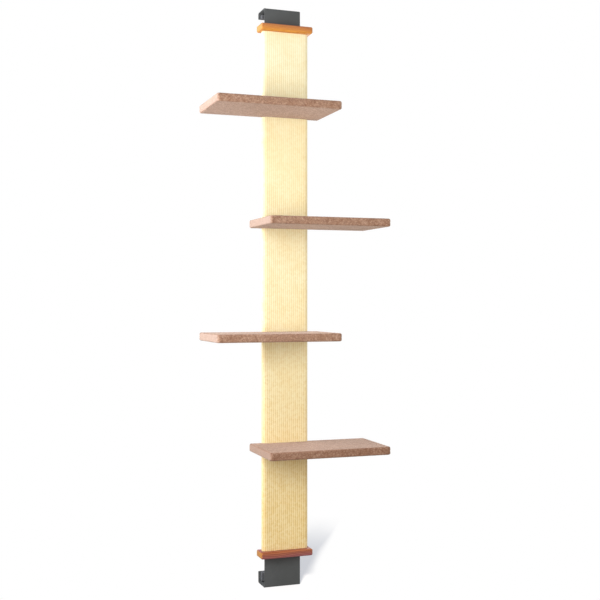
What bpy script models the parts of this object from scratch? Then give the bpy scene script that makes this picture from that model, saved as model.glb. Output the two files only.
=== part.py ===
"""Over-door cat climber: a sisal scratching panel with four carpeted shelves, hooked over and under a door.

X runs to the right, Y from the room through the door, Z up. The origin is the middle of the door's top edge,
on the underside of the top hook.
"""

import math

import bmesh
import bpy
from mathutils import Matrix, Vector

# Clearances, in metres like every size here
GAP = 0.0003
SLIDE_GAP = 0.0006

# The door that it is made for, and the hooks round it
DOOR_HEIGHT = 2.032
DOOR_GAP = 0.052
FRONT_PAD = 0.006
REAR_PAD = 0.012
STEEL = 0.0025
BRACKET_WIDTH = 0.132
BEND_RADIUS = 0.004
CORNER_RADIUS = 0.002
TOP_FLANGE = 0.020
BOTTOM_FLANGE = 0.038
PAD_MARGIN = 0.008
PAD_EDGE = 0.0015
SLIDE_TRAVEL = 0.060
LEG_MARGIN = 0.012

# Heights, from the top hook's seat downwards. The sections between two shelves share what is left
TOP_REACH = 0.065
BAR_HEIGHT = 0.023
TOP_SECTION = 0.271
BOTTOM_SECTION = 0.348
SHELF_THICKNESS = 0.0276
BOTTOM_REACH = 0.1116
SHELF_COUNT = 4

# Panel and bars
PANEL_WIDTH = 0.168
BOARD = 0.012
SISAL = 0.0025
SISAL_CORNER = 0.011
SISAL_BACK_BEND = 0.0008
RETURN_CLEARANCE = 0.002
BAR_WIDTH = 0.189
BAR_DEPTH = 0.056
BAR_LIP = 0.020
BAR_CORNER = 0.006
BAR_ROUND = 0.005

# Shelves
SHELF_WIDTH = 0.4325
SHELF_DEPTH = 0.2345
SHELF_OFFSET = 0.089
SHELF_CORE = 0.018
SHELF_CORNER = 0.012
CARPET_ROUND = 0.0042

# Cleats, as wide as the brackets, and the foam on them
SHELF_CLEAT_HEIGHT = 0.110
TOP_CLEAT_HEIGHT = 0.080
BOTTOM_CLEAT_HEIGHT = 0.105
CLEAT_EDGE = 0.0015
DOOR_PAD_CLEARANCE = 0.007
DOOR_PAD_HEIGHT = 0.090

# Fasteners
BOLT_RADIUS = 0.003
BOLT_HEAD_RADIUS = 0.007
BOLT_HEAD = 0.0028
BOLT_TAIL = 0.0005
BRACKET_BOLT_INSET = 0.019
TOP_BOLT_DROP = 0.045
BOTTOM_BOLT_RISE = 0.022
NUT_FLANGE_RADIUS = 0.0075
NUT_FLANGE = 0.0012
NUT_ACROSS_FLATS = 0.010
NUT = 0.0048
SHELF_BOLT_INSET = 0.018
SHELF_BOLT_DEPTH = 0.046
SHELF_BOLT_SINK = 0.004
BARREL_RADIUS = 0.005
BARREL_LENGTH = 0.014
BARREL_SETBACK = 0.034
SCREW_RADIUS = 0.002
SCREW_BITE = 0.0095
SCREW_SPREAD = 0.040
BAR_SCREW_RADIUS = 0.0025
BAR_SCREW_HEAD_RADIUS = 0.0048
BAR_SCREW_SPREAD = 0.055
FUSE_DEPTH = 0.003

# How finely round shapes are drawn, and how near two points lie that count as level
SIDES = 12
ARC_STEPS = 4
LEVEL = 1e-5

# Depth planes, from the door towards the room
DOOR_FACE = -DOOR_GAP / 2
LEG_BACK = DOOR_FACE - FRONT_PAD
LEG_FRONT = LEG_BACK - STEEL
FLANGE_FRONT = DOOR_GAP / 2 + REAR_PAD
BAR_BACK = LEG_FRONT - GAP
BAR_FRONT = BAR_BACK - BAR_DEPTH
PANEL_FRONT = BAR_FRONT + BAR_LIP
BOARD_FRONT = PANEL_FRONT + SISAL + GAP
BOARD_BACK = BOARD_FRONT + BOARD
CLEAT_FRONT = BOARD_BACK + GAP
SHELF_FRONT = BOARD_BACK - SHELF_DEPTH

# Places across the width
BRACKET_BOLT_X = BRACKET_WIDTH / 2 - BRACKET_BOLT_INSET
SHELF_BOLT_X = BRACKET_WIDTH / 2 - SHELF_BOLT_INSET
DOOR_PAD_HALF = SHELF_BOLT_X - BOLT_HEAD_RADIUS - DOOR_PAD_CLEARANCE

COLOURS = {
    "stained_wood": (0.55, 0.22, 0.07, 0.35, 0.0),
    "bare_wood": (0.72, 0.53, 0.33, 0.65, 0.0),
    "plywood": (0.66, 0.48, 0.30, 0.70, 0.0),
    "sisal": (0.80, 0.68, 0.44, 0.90, 0.0),
    "carpet": (0.40, 0.25, 0.18, 0.95, 0.0),
    "painted_steel": (0.07, 0.07, 0.075, 0.45, 0.0),
    "zinc_steel": (0.60, 0.60, 0.60, 0.35, 1.0),
    "foam": (0.05, 0.05, 0.05, 0.90, 0.0),
}


def clear_scene():
    for obj in list(bpy.data.objects):
        bpy.data.objects.remove(obj, do_unlink=True)


def material(name):
    """The Principled material of this name, made when it is first asked for."""
    found = bpy.data.materials.get(name)
    if found:
        return found
    red, green, blue, roughness, metallic = COLOURS[name]
    made = bpy.data.materials.new(name)
    made.use_nodes = True
    shader = made.node_tree.nodes["Principled BSDF"]
    shader.inputs["Base Color"].default_value = (red, green, blue, 1.0)
    shader.inputs["Roughness"].default_value = roughness
    shader.inputs["Metallic"].default_value = metallic
    return made


# Outlines

def rounded_outline(corners):
    """A closed outline from corners (x, y, radius), each turned into an arc of its radius."""
    outline = []
    for index, (x, y, radius) in enumerate(corners):
        here = Vector((x, y))
        if radius <= 0:
            outline.append(here)
            continue
        before = (Vector(corners[index - 1][:2]) - here).normalized()
        after = (Vector(corners[(index + 1) % len(corners)][:2]) - here).normalized()
        half = before.angle(after) / 2
        centre = here + (before + after).normalized() * radius / math.sin(half)
        start = here + before * radius / math.tan(half) - centre
        sweep = start.angle_signed(here + after * radius / math.tan(half) - centre)
        for step in range(ARC_STEPS + 1):
            # angle_signed counts clockwise, and a rotation matrix turns the other way
            turn = Matrix.Rotation(-sweep * step / ARC_STEPS, 2)
            outline.append(centre + turn @ start)
    return outline


def bent_strip(path, thickness):
    """The outline of a strip of this thickness, bent along a path of square corners (x, y, inner radius)."""
    points = [Vector(p[:2]) for p in path]
    left = []
    right = []

    def add(point, normal):
        left.append(point + normal * thickness / 2)
        right.append(point - normal * thickness / 2)

    for index, point in enumerate(points):
        arrive = (point - points[index - 1]).normalized() if index else None
        leave = (points[index + 1] - point).normalized() if index < len(points) - 1 else None
        if arrive is None or leave is None:
            along = leave or arrive
            add(point, Vector((-along.y, along.x)))
            continue
        side = 1 if arrive.cross(leave) > 0 else -1
        radius = path[index][2] + thickness / 2
        centre = point + (leave - arrive) * radius
        start = Vector((-arrive.y, arrive.x))
        for step in range(ARC_STEPS + 1):
            turned = Matrix.Rotation(side * math.pi / 2 * step / ARC_STEPS, 2) @ start
            add(centre - turned * side * radius, turned)
    return left + right[::-1]


def circle(radius, sides=SIDES):
    return [Vector((radius * math.cos(a), radius * math.sin(a)))
            for a in (2 * math.pi * k / sides for k in range(sides))]


def stadium(radius, length):
    """A slot's outline, upright: two half circles, one round the origin and one this length above it."""
    half = SIDES // 2
    lower = [Vector((radius * math.cos(a), radius * math.sin(a)))
             for a in (math.pi + math.pi * k / half for k in range(half + 1))]
    upper = [Vector((-p.x, length - p.y)) for p in lower]
    return lower + upper


# Solids, each added to a bmesh

PLANES = {
    "X": Matrix(((0, 0, 1, 0), (1, 0, 0, 0), (0, 1, 0, 0), (0, 0, 0, 1))),
    "Y": Matrix(((1, 0, 0, 0), (0, 0, -1, 0), (0, 1, 0, 0), (0, 0, 0, 1))),
    "Z": Matrix.Identity(4),
}


def loops_to_solid(mesh, rings, close_ends=True):
    """Joins rings of equally many points into a tube, and caps it or joins its last ring to its first."""
    rows = [[mesh.verts.new(p) for p in ring] for ring in rings]
    faces = []
    for low, high in zip(rows, rows[1:]):
        count = len(low)
        for k in range(count):
            after = (k + 1) % count
            faces.append(mesh.faces.new((low[k], low[after], high[after], high[k])))
    if close_ends:
        faces.append(mesh.faces.new(rows[0][::-1]))
        faces.append(mesh.faces.new(rows[-1]))
    else:
        for k in range(len(rows[0])):
            after = (k + 1) % len(rows[0])
            faces.append(mesh.faces.new((rows[-1][k], rows[-1][after], rows[0][after], rows[0][k])))
    bmesh.ops.recalc_face_normals(mesh, faces=faces)


def prism(mesh, outline, axis, low, high, at=(0, 0, 0)):
    """Pulls an outline along X, Y or Z, from low to high. Along Y the outline is given as (x, z)."""
    turn = Matrix.Translation(at) @ PLANES[axis]
    side = -1 if axis == "Y" else 1
    rings = [[turn @ Vector((p.x, p.y, side * height)) for p in outline] for height in (low, high)]
    loops_to_solid(mesh, rings)


def turned(mesh, profile, axis, at, sides=SIDES):
    """Turns a profile of (radius, height) round an axis through at."""
    turn = Matrix.Translation(at) @ PLANES[axis.strip("-")]
    side = (-1 if "Y" in axis else 1) * (-1 if "-" in axis else 1)
    rings = [[turn @ Vector((p.x, p.y, side * height)) for p in circle(radius, sides)]
             for radius, height in profile]
    loops_to_solid(mesh, rings)


def pierced(mesh, levels, at):
    """A nut along Y, from (outline, height) levels that go from the outside round into the bore."""
    turn = Matrix.Translation(at) @ PLANES["Y"]
    rings = [[turn @ Vector((p.x, p.y, -height)) for p in outline] for outline, height in levels]
    loops_to_solid(mesh, rings, close_ends=False)


def box(mesh, low, high):
    outline = [Vector((low[0], low[1])), Vector((high[0], low[1])),
               Vector((high[0], high[1])), Vector((low[0], high[1]))]
    prism(mesh, outline, "Z", low[2], high[2])


def round_edges(mesh, width, segments, wanted):
    """Rounds the edges whose two ends make wanted(a, b) true."""
    edges = [e for e in mesh.edges if wanted(e.verts[0].co, e.verts[1].co)]
    bmesh.ops.bevel(mesh, geom=edges, offset=width, segments=segments, profile=0.5, affect="EDGES")


def add_object(name, mesh, finish, smooth=True):
    data = bpy.data.meshes.new(name)
    mesh.to_mesh(data)
    mesh.free()
    if smooth:
        data.shade_smooth()
        data.set_sharp_from_angle(angle=math.radians(40))
    made = bpy.data.objects.new(name, data)
    bpy.context.scene.collection.objects.link(made)
    if finish:
        data.materials.append(material(finish))
    return made


def combine(target, name, mesh, operation):
    """Cuts the solids in mesh from target, or joins them to it, with a Boolean through a hidden helper."""
    helper = add_object(f"{target.name}_{name}", mesh, None, smooth=False)
    helper.hide_render = True
    helper.display_type = "WIRE"
    modifier = target.modifiers.new(name, "BOOLEAN")
    modifier.operation = operation
    modifier.solver = "EXACT"
    modifier.object = helper


def cut(target, name, mesh):
    combine(target, name, mesh, "DIFFERENCE")


def fuse(target, name, mesh):
    combine(target, name, mesh, "UNION")


# Heights of the stack, worked out from the top hook's seat downwards

def stack_levels():
    """The top of each bar, section and shelf, as a dict of name to (high, low)."""
    levels = {}
    height = -TOP_REACH
    taken = TOP_REACH + TOP_SECTION + BOTTOM_SECTION + BOTTOM_REACH
    taken += 2 * BAR_HEIGHT + SHELF_COUNT * SHELF_THICKNESS
    section = (DOOR_HEIGHT - taken) / (SHELF_COUNT - 1)
    sections = [TOP_SECTION] + [section] * (SHELF_COUNT - 1) + [BOTTOM_SECTION]

    def take(name, amount):
        nonlocal height
        levels[name] = (height, height - amount)
        height -= amount

    take("top_bar", BAR_HEIGHT)
    for number, length in enumerate(sections, 1):
        take(f"board_{number}", length)
        if number <= SHELF_COUNT:
            take(f"shelf_{number}", SHELF_THICKNESS)
    take("bottom_bar", BAR_HEIGHT)
    return levels


LEVELS = stack_levels()
DOOR_BOTTOM = -DOOR_HEIGHT
TOP_CLEAT = (LEVELS["top_bar"][1] - GAP, LEVELS["top_bar"][1] - TOP_CLEAT_HEIGHT)
BOTTOM_CLEAT = (LEVELS["bottom_bar"][0] + BOTTOM_CLEAT_HEIGHT, LEVELS["bottom_bar"][0] + GAP)
TOP_BOLT_HEIGHT = LEVELS["top_bar"][1] - TOP_BOLT_DROP
BOTTOM_BOLT_HEIGHT = LEVELS["bottom_bar"][0] + BOTTOM_BOLT_RISE
SIDE_NAMES = {-1: "left", 1: "right"}
SHELF_NUMBERS = range(1, SHELF_COUNT + 1)


def shelf_middle(number):
    high, low = LEVELS[f"shelf_{number}"]
    return (high + low) / 2


def both_sides(distance, *heights):
    return [(side * distance, height) for height in heights for side in SIDE_NAMES]


# Fastener shapes: profiles of (radius, height) from the head's outer face inwards

def bracket_bolt_profile(extra=0.0):
    """A flat head sunk in the board, and a shank through board, cleat, bracket and nut."""
    length = LEG_BACK + GAP + NUT + BOLT_TAIL - BOARD_FRONT
    head = BOLT_HEAD_RADIUS + extra
    shank = BOLT_RADIUS + extra
    under = BOLT_HEAD + extra
    return [(head, -extra), (head, under), (shank, under), (shank, length + extra)]


def shelf_bolt_profile(extra=0.0):
    """A flat head sunk in the cleat, and a shank into the shelf."""
    length = BAR_BACK - SHELF_BOLT_SINK + BOLT_HEAD - BOARD_BACK + SHELF_BOLT_DEPTH
    head = BOLT_HEAD_RADIUS + extra
    shank = BOLT_RADIUS + extra
    outside = -extra - (SHELF_BOLT_SINK if extra else 0)
    under = BOLT_HEAD + extra
    return [(head, outside), (head, under), (shank, under), (shank, length + extra)]


def bar_screw_profile(extra=0.0):
    """A countersunk head in the bar's outer face, and a shank that ends inside the board."""
    cone = BAR_SCREW_HEAD_RADIUS - BAR_SCREW_RADIUS
    head = BAR_SCREW_HEAD_RADIUS + extra
    shank = BAR_SCREW_RADIUS + extra
    top = [(head, -2 * GAP), (head, extra)] if extra else [(head, GAP)]
    return top + [(shank, cone + GAP + extra), (shank, BAR_HEIGHT + FUSE_DEPTH)]


def add_bar_screws(mesh, end, extra=0.0):
    """The three screws through the bar at this end of the panel."""
    board_middle = (BOARD_FRONT + BOARD_BACK) / 2
    axis, level = ("-Z", LEVELS["top_bar"][0]) if end == "top" else ("Z", LEVELS["bottom_bar"][1])
    for x in (-BAR_SCREW_SPREAD, 0.0, BAR_SCREW_SPREAD):
        turned(mesh, bar_screw_profile(extra), axis, (x, board_middle, level))


def add_bracket_bolts(mesh, places, extra=0.0):
    for x, z in places:
        turned(mesh, bracket_bolt_profile(extra), "Y", (x, BOARD_FRONT, z))


def add_shelf_bolts(mesh, places, extra=0.0):
    head_face = BAR_BACK - SHELF_BOLT_SINK + BOLT_HEAD
    for x, z in places:
        turned(mesh, shelf_bolt_profile(extra), "-Y", (x, head_face, z))


def cleat_screw_places(number):
    """Two screws above the shelf and two below it, from its cleat into the boards."""
    middle = shelf_middle(number)
    return both_sides(SHELF_BOLT_X, middle + SCREW_SPREAD, middle - SCREW_SPREAD)


def add_cleat_screws(mesh, number, extra=0.0):
    """The points of the cleat's screws, from inside the cleat into the board."""
    root = CLEAT_FRONT + FUSE_DEPTH
    bite = root - CLEAT_FRONT + GAP + SCREW_BITE
    profile = [(SCREW_RADIUS + extra, 0.0), (SCREW_RADIUS + extra, bite - SCREW_RADIUS + extra),
               (SCREW_RADIUS / 4 + extra, bite + extra)]
    for x, z in cleat_screw_places(number):
        turned(mesh, profile, "-Y", (x, root, z))


# Sub-parts

def add_brackets():
    leg = (LEG_FRONT + LEG_BACK) / 2
    flange = FLANGE_FRONT + STEEL / 2
    leg_low = TOP_BOLT_HEIGHT - LEG_MARGIN
    leg_high = BOTTOM_BOLT_HEIGHT + SLIDE_TRAVEL + BOLT_RADIUS + SLIDE_GAP + LEG_MARGIN
    seat = STEEL / 2
    floor = DOOR_BOTTOM - STEEL / 2
    half = BRACKET_WIDTH / 2
    paths = {
        "top_bracket": [(leg, leg_low, 0), (leg, seat, BEND_RADIUS),
                        (flange, seat, BEND_RADIUS), (flange, -TOP_FLANGE, 0)],
        "bottom_bracket": [(leg, leg_high, 0), (leg, floor, BEND_RADIUS),
                           (flange, floor, BEND_RADIUS), (flange, DOOR_BOTTOM + BOTTOM_FLANGE, 0)],
    }
    made = {}
    for name, path in paths.items():
        mesh = bmesh.new()
        prism(mesh, bent_strip(path, STEEL), "X", -half, half)
        ends = (path[0][1], path[-1][1])

        def free_corner(a, b):
            at_end = any(abs(a.z - end) < LEVEL and abs(b.z - end) < LEVEL for end in ends)
            return at_end and abs(a.x - b.x) < LEVEL

        round_edges(mesh, CORNER_RADIUS, 3, free_corner)
        made[name] = add_object(name, mesh, "painted_steel")

    holes = bmesh.new()
    for x, z in both_sides(BRACKET_BOLT_X, TOP_BOLT_HEIGHT):
        prism(holes, circle(BOLT_RADIUS + GAP), "Y", LEG_FRONT - STEEL, LEG_BACK + STEEL, (x, 0, z))
    cut(made["top_bracket"], "bolt_holes", holes)
    slots = bmesh.new()
    for x, z in both_sides(BRACKET_BOLT_X, BOTTOM_BOLT_HEIGHT):
        slot = stadium(BOLT_RADIUS + SLIDE_GAP, SLIDE_TRAVEL)
        prism(slots, slot, "Y", LEG_FRONT - STEEL, LEG_BACK + STEEL, (x, 0, z))
    cut(made["bottom_bracket"], "slots", slots)


def add_pad(name, low, high):
    mesh = bmesh.new()
    box(mesh, low, high)
    round_edges(mesh, PAD_EDGE, 2, lambda a, b: abs(a.y - b.y) > LEVEL)
    add_object(name, mesh, "foam")


def add_hook_pads():
    half = BRACKET_WIDTH / 2 - PAD_MARGIN
    bend = BEND_RADIUS + STEEL
    front = (LEG_BACK + GAP, DOOR_FACE)
    rear = (DOOR_GAP / 2, FLANGE_FRONT - GAP)
    heights = {
        "top_front_pad": (front, LEVELS["top_bar"][0], -bend),
        "top_rear_pad": (rear, -TOP_FLANGE + PAD_EDGE, -BEND_RADIUS),
        "bottom_front_pad": (front, DOOR_BOTTOM + bend, LEVELS["bottom_bar"][1]),
        "bottom_rear_pad": (rear, DOOR_BOTTOM + BEND_RADIUS, DOOR_BOTTOM + BOTTOM_FLANGE - PAD_EDGE),
    }
    for name, (depth, low, high) in heights.items():
        add_pad(name, (-half, depth[0], low), (half, depth[1], high))


def add_bars():
    half = BAR_WIDTH / 2
    outline = rounded_outline([(-half, BAR_FRONT, BAR_CORNER), (half, BAR_FRONT, BAR_CORNER),
                               (half, BAR_BACK, 0), (-half, BAR_BACK, 0)])
    for name in ("top_bar", "bottom_bar"):
        high, low = LEVELS[name]
        mesh = bmesh.new()
        prism(mesh, outline, "Z", low, high)
        round_edges(mesh, BAR_ROUND, 4,
                    lambda a, b: abs(a.z - b.z) < LEVEL and min(a.y, b.y) < BAR_BACK - LEVEL)
        bar = add_object(name, mesh, "stained_wood")
        holes = bmesh.new()
        add_bar_screws(holes, name.split("_")[0], GAP)
        cut(bar, "screw_holes", holes)


def add_panel():
    half = PANEL_WIDTH / 2
    board_half = half - SISAL - GAP
    board_corner = SISAL_CORNER - SISAL - GAP
    board_outline = rounded_outline([(-board_half, BOARD_FRONT, board_corner),
                                     (board_half, BOARD_FRONT, board_corner),
                                     (board_half, BOARD_BACK, SISAL_BACK_BEND),
                                     (-board_half, BOARD_BACK, SISAL_BACK_BEND)])
    front = PANEL_FRONT + SISAL / 2
    back = BOARD_BACK + GAP + SISAL / 2
    side = half - SISAL / 2
    inner_end = BRACKET_WIDTH / 2 + RETURN_CLEARANCE
    front_bend = board_corner + GAP
    wrap = bent_strip([(-inner_end, back, 0), (-side, back, SISAL_BACK_BEND), (-side, front, front_bend),
                       (side, front, front_bend), (side, back, SISAL_BACK_BEND), (inner_end, back, 0)], SISAL)
    for number in range(1, SHELF_COUNT + 2):
        high, low = LEVELS[f"board_{number}"]
        mesh = bmesh.new()
        prism(mesh, board_outline, "Z", low + GAP, high - GAP)
        board = add_object(f"board_{number}", mesh, "plywood")
        drill_board(board, number)
        mesh = bmesh.new()
        prism(mesh, wrap, "Z", low + GAP, high - GAP)
        add_object(f"sisal_cover_{number}", mesh, "sisal")


def drill_board(board, number):
    """The fasteners' holes in this section. The bars' screws are one with the end sections."""
    holes = bmesh.new()
    ends = {1: ("top", TOP_BOLT_HEIGHT), SHELF_COUNT + 1: ("bottom", BOTTOM_BOLT_HEIGHT)}
    if number in ends:
        end, height = ends[number]
        screws = bmesh.new()
        add_bar_screws(screws, end)
        fuse(board, "bar_screws", screws)
        add_bracket_bolts(holes, both_sides(BRACKET_BOLT_X, height), GAP)
    for shelf in {number - 1, number} & set(SHELF_NUMBERS):
        add_cleat_screws(holes, shelf, GAP)
    cut(board, "holes", holes)


def add_cleats():
    half = BRACKET_WIDTH / 2
    spans = {"top_cleat": TOP_CLEAT, "bottom_cleat": BOTTOM_CLEAT}
    for number in SHELF_NUMBERS:
        middle = shelf_middle(number)
        spans[f"shelf_cleat_{number}"] = (middle + SHELF_CLEAT_HEIGHT / 2, middle - SHELF_CLEAT_HEIGHT / 2)
    for name, (high, low) in spans.items():
        mesh = bmesh.new()
        box(mesh, (-half, CLEAT_FRONT, low), (half, BAR_BACK, high))
        round_edges(mesh, CLEAT_EDGE, 1, lambda a, b: min(a.y, b.y) > BAR_BACK - LEVEL)
        cleat = add_object(name, mesh, "bare_wood")
        holes = bmesh.new()
        if name == "top_cleat":
            add_bracket_bolts(holes, both_sides(BRACKET_BOLT_X, TOP_BOLT_HEIGHT), GAP)
        elif name == "bottom_cleat":
            add_bracket_bolts(holes, both_sides(BRACKET_BOLT_X, BOTTOM_BOLT_HEIGHT), GAP)
        else:
            number = int(name.split("_")[-1])
            screws = bmesh.new()
            add_cleat_screws(screws, number)
            fuse(cleat, "screws", screws)
            add_shelf_bolts(holes, both_sides(SHELF_BOLT_X, shelf_middle(number)), GAP)
        cut(cleat, "holes", holes)


def add_door_pads():
    for number in SHELF_NUMBERS:
        middle = shelf_middle(number)
        add_pad(f"door_pad_{number}",
                (-DOOR_PAD_HALF, BAR_BACK + GAP, middle - DOOR_PAD_HEIGHT / 2),
                (DOOR_PAD_HALF, DOOR_FACE, middle + DOOR_PAD_HEIGHT / 2))


def shelf_outline(centre, inset, rear):
    """The shelf from above, drawn in by inset at the front and sides, with two round front corners."""
    half = SHELF_WIDTH / 2 - inset
    corner = SHELF_CORNER - inset
    front = SHELF_FRONT + inset
    return rounded_outline([(centre - half, front, corner), (centre + half, front, corner),
                            (centre + half, rear, 0), (centre - half, rear, 0)])


def add_shelves():
    carpet_inset = (SHELF_THICKNESS - SHELF_CORE) / 2
    for number in SHELF_NUMBERS:
        centre = -SHELF_OFFSET if number % 2 else SHELF_OFFSET
        high, low = LEVELS[f"shelf_{number}"]
        middle = shelf_middle(number)
        core_low = middle - SHELF_CORE / 2
        core_high = middle + SHELF_CORE / 2

        mesh = bmesh.new()
        prism(mesh, shelf_outline(centre, carpet_inset, BOARD_BACK), "Z", core_low, core_high)
        core = add_object(f"shelf_core_{number}", mesh, "plywood")
        places = both_sides(SHELF_BOLT_X, middle)
        holes = bmesh.new()
        add_shelf_bolts(holes, places, GAP)
        cut(core, "bolt_holes", holes)
        holes = bmesh.new()
        for x, z in places:
            barrel = circle(BARREL_RADIUS + GAP)
            depth = z + BARREL_LENGTH / 2 + GAP
            prism(holes, barrel, "Z", core_low - GAP, depth, (x, BOARD_BACK - BARREL_SETBACK, 0))
        cut(core, "barrel_holes", holes)

        mesh = bmesh.new()
        prism(mesh, shelf_outline(centre, 0.0, BOARD_BACK), "Z", low, high)
        round_edges(mesh, CARPET_ROUND, 3,
                    lambda a, b: abs(a.z - b.z) < LEVEL and min(a.y, b.y) < BOARD_BACK - LEVEL)
        carpet = add_object(f"shelf_carpet_{number}", mesh, "carpet")
        pocket = bmesh.new()
        inset = carpet_inset - GAP
        prism(pocket, shelf_outline(centre, inset, BOARD_BACK + SISAL), "Z", core_low - GAP, core_high + GAP)
        cut(carpet, "pocket", pocket)


def add_shelf_fasteners():
    for number in SHELF_NUMBERS:
        for x, z in both_sides(SHELF_BOLT_X, shelf_middle(number)):
            side = SIDE_NAMES[math.copysign(1, x)]
            mesh = bmesh.new()
            add_shelf_bolts(mesh, [(x, z)])
            add_object(f"shelf_bolt_{number}_{side}", mesh, "zinc_steel")
            mesh = bmesh.new()
            barrel = circle(BARREL_RADIUS)
            place = (x, BOARD_BACK - BARREL_SETBACK, z)
            prism(mesh, barrel, "Z", -BARREL_LENGTH / 2, BARREL_LENGTH / 2, place)
            nut = add_object(f"barrel_nut_{number}_{side}", mesh, "zinc_steel")
            hole = bmesh.new()
            add_shelf_bolts(hole, [(x, z)], GAP)
            cut(nut, "bolt_hole", hole)


def add_bracket_fasteners():
    hexagon = []
    corners = circle(NUT_ACROSS_FLATS / math.sqrt(3), 6)
    for k, corner in enumerate(corners):
        hexagon += [corner, (corner + corners[(k + 1) % 6]) / 2]
    bore = circle(BOLT_RADIUS + GAP)
    flange = circle(NUT_FLANGE_RADIUS)
    levels = [(flange, 0.0), (flange, NUT_FLANGE), (hexagon, NUT_FLANGE),
              (hexagon, NUT), (bore, NUT), (bore, 0.0)]
    for end, height in (("top", TOP_BOLT_HEIGHT), ("bottom", BOTTOM_BOLT_HEIGHT)):
        for x, z in both_sides(BRACKET_BOLT_X, height):
            side = SIDE_NAMES[math.copysign(1, x)]
            mesh = bmesh.new()
            add_bracket_bolts(mesh, [(x, z)])
            add_object(f"{end}_bracket_bolt_{side}", mesh, "zinc_steel")
            mesh = bmesh.new()
            pierced(mesh, levels, (x, LEG_BACK + GAP, z))
            add_object(f"{end}_bracket_nut_{side}", mesh, "zinc_steel")


def main():
    clear_scene()
    add_brackets()
    add_hook_pads()
    add_bars()
    add_panel()
    add_cleats()
    add_door_pads()
    add_shelves()
    add_shelf_fasteners()
    add_bracket_fasteners()


main()
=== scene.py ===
# %% [markdown]
# # An over-door cat climber
#
# A strip of woven sisal two metres tall hangs on a door by two bent steel hooks. Four carpeted shelves
# stand out of it, in turn to the left and to the right, and a stained wooden bar closes each end. The
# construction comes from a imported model, in metres, with its origin on the underside of the top hook. This
# file dresses it: it gives every piece its surface, and swaps the plain soft solids for woven, tufted and
# padded ones.

# %% Load the model
import math
import random
from functools import partial

import bmesh
import bpy
import numpy as np
from mathutils import Matrix, Vector, noise


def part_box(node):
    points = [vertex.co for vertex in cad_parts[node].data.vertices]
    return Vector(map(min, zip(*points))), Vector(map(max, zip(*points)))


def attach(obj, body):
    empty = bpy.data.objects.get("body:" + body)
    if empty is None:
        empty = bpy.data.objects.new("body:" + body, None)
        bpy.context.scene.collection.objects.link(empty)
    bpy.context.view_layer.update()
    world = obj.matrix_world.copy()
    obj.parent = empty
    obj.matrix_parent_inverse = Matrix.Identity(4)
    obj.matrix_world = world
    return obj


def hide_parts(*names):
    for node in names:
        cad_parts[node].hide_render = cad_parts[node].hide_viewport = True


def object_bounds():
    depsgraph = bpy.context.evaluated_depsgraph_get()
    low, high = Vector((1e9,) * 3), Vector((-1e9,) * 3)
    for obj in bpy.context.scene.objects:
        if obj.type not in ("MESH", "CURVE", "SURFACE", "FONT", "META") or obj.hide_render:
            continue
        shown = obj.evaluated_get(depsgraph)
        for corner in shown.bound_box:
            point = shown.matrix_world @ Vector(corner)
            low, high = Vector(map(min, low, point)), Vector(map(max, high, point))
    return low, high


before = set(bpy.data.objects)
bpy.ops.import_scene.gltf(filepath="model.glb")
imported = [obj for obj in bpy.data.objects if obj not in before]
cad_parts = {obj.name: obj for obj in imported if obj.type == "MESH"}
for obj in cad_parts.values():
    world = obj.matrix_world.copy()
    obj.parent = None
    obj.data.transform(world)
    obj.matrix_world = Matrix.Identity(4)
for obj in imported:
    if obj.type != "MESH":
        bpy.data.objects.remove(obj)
cad_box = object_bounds()
MM = 0.001

# %% [markdown]
# ## The camera
#
# The picture was taken from hip height, a little to the left of the object and level, so upright edges stay
# upright. A long lens from three and a half metres keeps the shelves' edges nearly parallel. The place is
# measured from the middle of the hook's seat on the door.

# %% Camera
CAMERA_PLACE = Vector((-1.135, -3.428, -1.0235))
CAMERA_TURN = 19.49
CAMERA_LENS = 60.77


def add_object(name, data):
    """Links a new object with this data into the scene."""
    made = bpy.data.objects.new(name, data)
    bpy.context.scene.collection.objects.link(made)
    return made


camera = add_object("camera", bpy.data.cameras.new("camera"))
camera.data.lens = CAMERA_LENS
camera.data.sensor_width = 36.0
camera.location = CAMERA_PLACE
camera.rotation_euler = (math.pi / 2, 0.0, -math.radians(CAMERA_TURN))
bpy.context.scene.camera = camera
print("camera distance:", round(-CAMERA_PLACE.y, 2), "m")

# %% [markdown]
# ## Colours and nodes
#
# Colours are written as the hex values that a colour picker shows. Blender's shaders want linear light, so
# one function turns the first into the second. Another adds a node: its settings are properties of the
# node, and each input is a plain value, an output that feeds it, or a node, which stands for its first
# output in use. Two kinds of Mix node come up again and again, so their settings have names. A tint
# multiplies its colours, the inputs 6 and 7, and a blend fades from the first to the second.

# %% Helpers for materials
TINT = {"data_type": "RGBA", "blend_type": "MULTIPLY"}
BLEND = {"data_type": "RGBA"}


def linear(hex_colour):
    """An sRGB hex colour as linear red, green, blue and alpha."""
    channels = [int(hex_colour[k:k + 2], 16) / 255 for k in (1, 3, 5)]
    return [c / 12.92 if c <= 0.04045 else ((c + 0.055) / 1.055) ** 2.4 for c in channels] + [1.0]


def feed(node, inputs):
    """Gives each of these inputs of a node its plain value or its link."""
    for name, value in inputs.items():
        if isinstance(value, bpy.types.Node):
            value = next(output for output in value.outputs if output.enabled)
        if isinstance(value, bpy.types.NodeSocket):
            node.id_data.links.new(value, node.inputs[name])
        else:
            node.inputs[name].default_value = value


def add_node(tree, kind, inputs=None, stops=(), **settings):
    """Adds a node of this kind, sets its properties and its colour stops, if it has any, and feeds it."""
    node = tree.nodes.new("ShaderNode" + kind)
    for name, value in settings.items():
        setattr(node, name, value)
    if stops:
        elements = node.color_ramp.elements
        while len(elements) < len(stops):
            elements.new(0.5)
        for element, (position, hex_colour) in zip(elements, stops):
            element.position = position
            element.color = linear(hex_colour)
    feed(node, inputs or {})
    return node


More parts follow.
